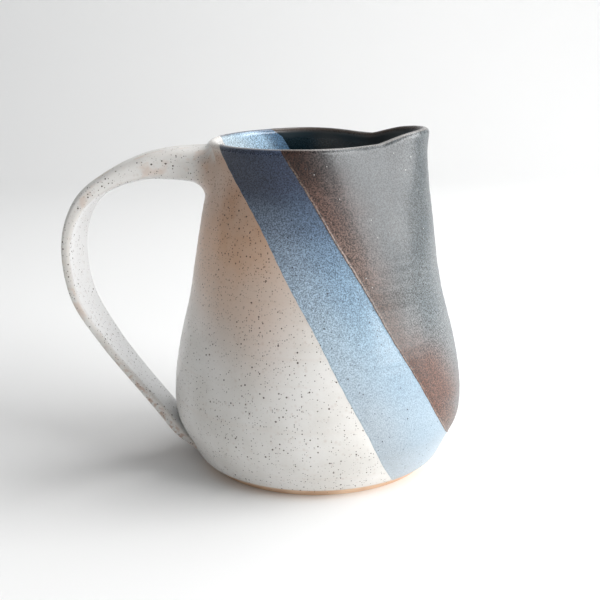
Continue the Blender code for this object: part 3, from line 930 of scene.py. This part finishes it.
def dark_glaze():
    """A satin glaze with metal in it: brown where it thins along the dip line, elsewhere grey with a teal
    cast that is partly painted sheen, lightened towards the spout's side as painted sheen, and pooled nearly
    black inside, darkened further as painted shade."""
    look = Look("dark_glaze", Specular_IOR_Level=0.34, Coat_Weight=0.42, Coat_Roughness=0.24)
    line = look.attribute("line_2")
    crest = look.attribute("crest")
    height = look.height()
    cloud = look.noise(52.0, 4.0)
    reach = look.math("MULTIPLY", line, look.step(height, 0.105, 0.135, 1.30, 1.0))
    reach = look.math("ADD", reach, look.math("MULTIPLY_ADD", cloud, 0.016, -0.008))
    brown = look.step(reach, 0.002, 0.025, 1.0, 0.0)
    patch = look.math("MULTIPLY", look.step(height, 0.082, 0.060), look.step(height, 0.024, 0.044))
    patch = look.math("MULTIPLY", patch, look.step(line, 0.026, 0.008))
    brown = look.math("MAXIMUM", brown, look.math("MULTIPLY", patch, 0.9))
    # Grey with a teal cast, partly the glaze's own and partly painted sheen of the bright room; dimmer
    # higher up.
    steel_and_sheen = look.mix(look.step(cloud, 0.3, 0.7), STEEL_AND_SHEEN, PALE_STEEL_AND_SHEEN)
    steel_and_sheen = look.scaled(steel_and_sheen, look.step(height, 0.085, 0.140, 0.88, 0.70))
    warm = look.ramp(look.math("DIVIDE", height, RAMP_TOP), WARM_BY_HEIGHT)
    warm = look.mix(patch, warm, PATCH_BROWN)
    colour = look.mix(brown, steel_and_sheen, warm)
    # Painted sheen: lightened up to 1.65 times towards the spout's side (+X), where the bright room is
    # reflected, and dimmed to 0.88 elsewhere.
    colour = look.scaled(colour, look.step(look.along("X"), 0.034, 0.060, 0.88, 1.65))
    grain = look.noise(1500.0, 2.0, None, 0.65)
    colour = look.grained(colour, grain, 1.8)
    flecks = look.specks(0.0009, 0.00030, 0.50, 0.6)
    colour = look.mix(look.math("MULTIPLY", flecks, 0.26), colour, METAL_FLECK)
    dots = look.specks(0.0008, 0.00028, 0.55, 0.5)
    colour = look.mix(look.math("MULTIPLY", dots, 0.65), colour, DARK_DOT)
    # Painted glints: sparse bright specks standing in for the sparkle of the metal in the glaze.
    painted_glints = look.specks(0.0028, 0.00036, 0.30)
    colour = look.mix(look.math("MULTIPLY", painted_glints, 0.6), colour, PAINTED_GLINT)
    spots = look.specks(0.0024, 0.00042, 0.28)
    colour = look.mix(look.math("MULTIPLY", spots, 0.85), colour, DARK_GRAIN)
    # A broken pale tan line along the overlap ridge, outside only: partly the glaze's own tan and partly
    # painted highlight on the ridge.
    ridge = look.math("ABSOLUTE", look.math("SUBTRACT", line, 0.00035))
    ridge = look.step(ridge, 0.0001, 0.0006, 0.42, 0.0)
    ridge = look.math("MULTIPLY", ridge, look.step(look.noise(1100.0, 2.0), 0.42, 0.60))
    ridge = look.math("MULTIPLY", ridge, look.step(crest, 0.0, 0.012))
    colour = look.mix(ridge, colour, RIDGE_TAN_AND_HIGHLIGHT)
    # Nearly black inside: dark pooled glaze, darkened further as painted shade inside the pot; browner just
    # under the crest.
    pool_and_shade = look.mix(look.step(cloud, 0.3, 0.7), POOL_AND_SHADE, PALE_POOL_AND_SHADE)
    pool_and_shade = look.mix(look.step(crest, -0.0028, -0.0008), pool_and_shade, RIM_BROWN)
    colour = look.mix(look.step(crest, -0.0012, 0.0002), pool_and_shade, colour)
    colour = worn_and_lit_rim(look, colour, DARK_WORN_AND_HIGHLIGHT)
    look.bump(grain, 0.00010, 0.9)
    look.bump(throwing_lines(look), 0.00012, 0.6)
    gloss = look.step(crest, -0.006, -0.0034, 0.30, 0.0)
    rough = look.math("SUBTRACT", look.step(grain, 0.3, 0.7, 0.48, 0.62), gloss)
    return look.finish(colour, glossy_crest(look, rough))


CLAY, FLASHED_CLAY, SAND = (0.86, 0.64, 0.46), (0.70, 0.47, 0.32), (0.80, 0.62, 0.46)


def bare_clay():
    """Toasted stoneware, darker where the flame flashed it, with sand and iron in it."""
    look = Look("bare_clay", Specular_IOR_Level=0.25)
    cloud = look.noise(60.0, 4.0)
    colour = look.mix(look.step(cloud, 0.3, 0.7), CLAY, FLASHED_CLAY)
    sand = look.noise(2600.0, 2.0)
    colour = look.mix(look.step(sand, 0.5, 0.7, 0.0, 0.5), colour, SAND)
    grains = look.specks(0.0020, 0.00040, 0.30)
    colour = look.mix(look.math("MULTIPLY", grains, 0.8), colour, IRON)
    look.bump(sand, 0.00016, 0.8)
    return look.finish(colour, look.step(cloud, 0.3, 0.7, 0.78, 0.92))


PAPER, PALE_PAPER = (0.83, 0.83, 0.825), (0.85, 0.85, 0.845)


def paper():
    look = Look("paper", Specular_IOR_Level=0.2)
    fibre = look.noise(900.0, 2.0)
    colour = look.mix(fibre, PAPER, PALE_PAPER)
    return look.finish(colour, look.step(fibre, 0.0, 1.0, 0.9, 0.95))


# ---- studio ----

SWEEP_FRONT, SWEEP_START, SWEEP_RADIUS, SWEEP_TOP, SWEEP_HALF = -6.0, 0.9, 0.7, 2.6, 6.0
SWEEP_STEPS = 24
SKY_COLOUR = (0.97, 0.985, 1.0, 1.0)
SKY_LEFT, SKY_RIGHT = 0.17, 0.68
CAMERA_PLACE = (0.0, -0.51995, 0.21777)
CAMERA_PITCH, CAMERA_YAW, CAMERA_ROLL = (math.radians(a) for a in (14.868, -0.879, 1.05))
LENS, SENSOR = 65.0, 36.0


def backdrop():
    """A pale paper sweep: floor in front, rising behind in one long curve."""
    line = [(SWEEP_FRONT, 0.0), (SWEEP_START, 0.0)]
    for k in range(1, SWEEP_STEPS + 1):
        turn = k * math.pi / (2 * SWEEP_STEPS)
        line.append((SWEEP_START + SWEEP_RADIUS * math.sin(turn), SWEEP_RADIUS * (1 - math.cos(turn))))
    line.append((SWEEP_START + SWEEP_RADIUS, SWEEP_TOP))
    points = [(side * SWEEP_HALF, y, z) for y, z in line for side in (-1, 1)]
    faces = [(2 * k, 2 * k + 1, 2 * k + 3, 2 * k + 2) for k in range(len(line) - 1)]
    mesh = bpy.data.meshes.new("backdrop")
    mesh.from_pydata(points, [], faces)
    mesh.materials.append(paper())
    mesh.shade_smooth()
    sweep = bpy.data.objects.new("backdrop", mesh)
    bpy.context.scene.collection.objects.link(sweep)


def area_light(name, place, aim, size, energy):
    light = bpy.data.lights.new(name, "AREA")
    light.shape = "RECTANGLE"
    light.size, light.size_y = size
    light.energy = energy
    lamp = bpy.data.objects.new(name, light)
    bpy.context.scene.collection.objects.link(lamp)
    lamp.location = place
    lamp.rotation_euler = (Vector(aim) - Vector(place)).to_track_quat("-Z", "Y").to_euler()


def studio():
    """The sweep, a sky that is brighter on the spout's side, and two soft lights on that side."""
    backdrop()
    world = bpy.data.worlds.new("studio")
    bpy.context.scene.world = world
    world.use_nodes = True
    tree = world.node_tree
    background = tree.nodes["Background"]
    background.inputs["Color"].default_value = SKY_COLOUR
    around = tree.nodes.new("ShaderNodeTexCoord")
    split = tree.nodes.new("ShaderNodeSeparateXYZ")
    share = tree.nodes.new("ShaderNodeMapRange")
    tree.links.new(around.outputs["Generated"], split.inputs[0])
    tree.links.new(split.outputs[0], share.inputs["Value"])
    tree.links.new(share.outputs[0], background.inputs["Strength"])
    for label, value in (("From Min", -1.0), ("From Max", 1.0), ("To Min", SKY_LEFT), ("To Max", SKY_RIGHT)):
        share.inputs[label].default_value = value
    area_light("key", (1.15, -0.32, 0.58), aim=(0.0, 0.0, 0.07), size=(1.3, 1.0), energy=29)
    area_light("top", (0.55, 0.45, 1.20), aim=(0.30, 0.10, 0.0), size=(1.0, 0.7), energy=7.5)


def camera():
    """Seen from in front of the pitcher's side and a little above the rim, the camera turned by its
    pitch, yaw and roll."""
    pitch, yaw, roll = CAMERA_PITCH, CAMERA_YAW, CAMERA_ROLL
    ahead = Vector((math.sin(yaw), math.cos(yaw), 0))
    forward = math.cos(pitch) * ahead - math.sin(pitch) * Vector((0, 0, 1))
    level = Vector((math.cos(yaw), -math.sin(yaw), 0))
    above = math.sin(pitch) * ahead + math.cos(pitch) * Vector((0, 0, 1))
    right = math.cos(roll) * level - math.sin(roll) * above
    up = math.sin(roll) * level + math.cos(roll) * above
    lens = bpy.data.cameras.new("camera")
    lens.lens, lens.sensor_width = LENS, SENSOR
    seen = bpy.data.objects.new("camera", lens)
    bpy.context.scene.collection.objects.link(seen)
    spin = Matrix((right, up, -forward)).transposed().to_4x4()
    seen.matrix_world = Matrix.Translation(CAMERA_PLACE) @ spin
    bpy.context.scene.camera = seen


camera()
studio()
bpy.context.scene.view_settings.view_transform = "Standard"

surface = glazed_surface()
glaze_piece(
    "white_glaze",
    surface,
    lambda m: m[LINE_1] < 0,
    ["body_white_glaze"],
    white_glaze("white_glaze", False),
)
glaze_piece(
    "blue_band",
    surface,
    lambda m: m[LINE_1] > 0 and m[LINE_2] < 0,
    ["blue_glaze_band"],
    blue_glaze(),
)
glaze_piece(
    "dark_glaze_coat",
    surface,
    lambda m: m[LINE_2] > 0,
    ["dark_glaze"],
    dark_glaze(),
)
clay_body(bare_clay())
handle_piece(white_glaze("handle_white_glaze", True))
